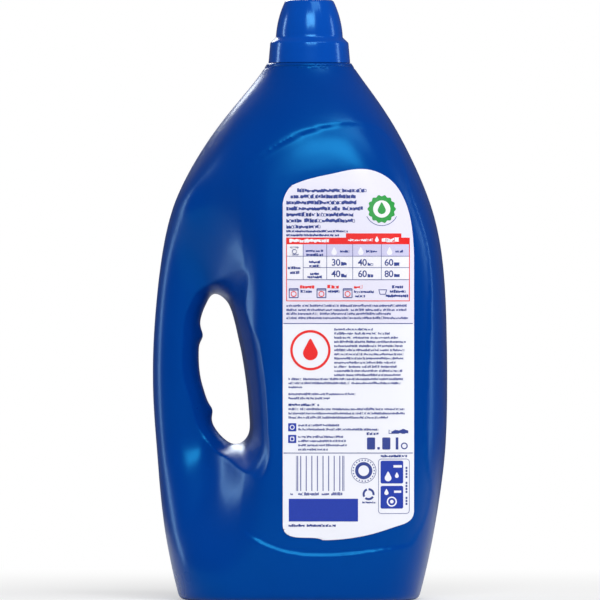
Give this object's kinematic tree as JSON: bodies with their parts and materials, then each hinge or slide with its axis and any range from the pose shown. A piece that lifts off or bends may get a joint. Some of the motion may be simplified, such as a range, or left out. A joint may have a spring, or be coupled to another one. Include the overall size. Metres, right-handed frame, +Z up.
{
  "type": "laundry detergent bottle",
  "caption": "Blow-moulded plastic laundry detergent bottle with a through handle, a rear label, a drain-back pouring insert and a smooth domed dosing cap that lifts off.",
  "frame": {"origin": "middle of the overall box, on the plane of the standing ring", "axes": "+Z up along the neck, +X from the handle towards the far side, -Y out of the rear label"},
  "size_m": [0.1827, 0.1286, 0.372],
  "materials": {
    "bottle_body": "satin blow-moulded polyethylene, deep blue",
    "insert_plastic": "satin injection-moulded polyethylene, natural white",
    "cap_plastic": "glossy injection-moulded polypropylene, blue",
    "label_film": "printed white film with a soft sheen"
  },
  "bodies": {
    "bottle": {"bottle": "bottle_body", "pouring_insert": "insert_plastic", "rear_label": "label_film"},
    "dosing_cap": {"dosing_cap": "cap_plastic"}
  },
  "joints": [
    {"name": "cap_lift", "type": "slide", "parent": "bottle", "child": "dosing_cap", "axis": [0, 0, 1], "range_m": [0, 0.06]}
  ]
}
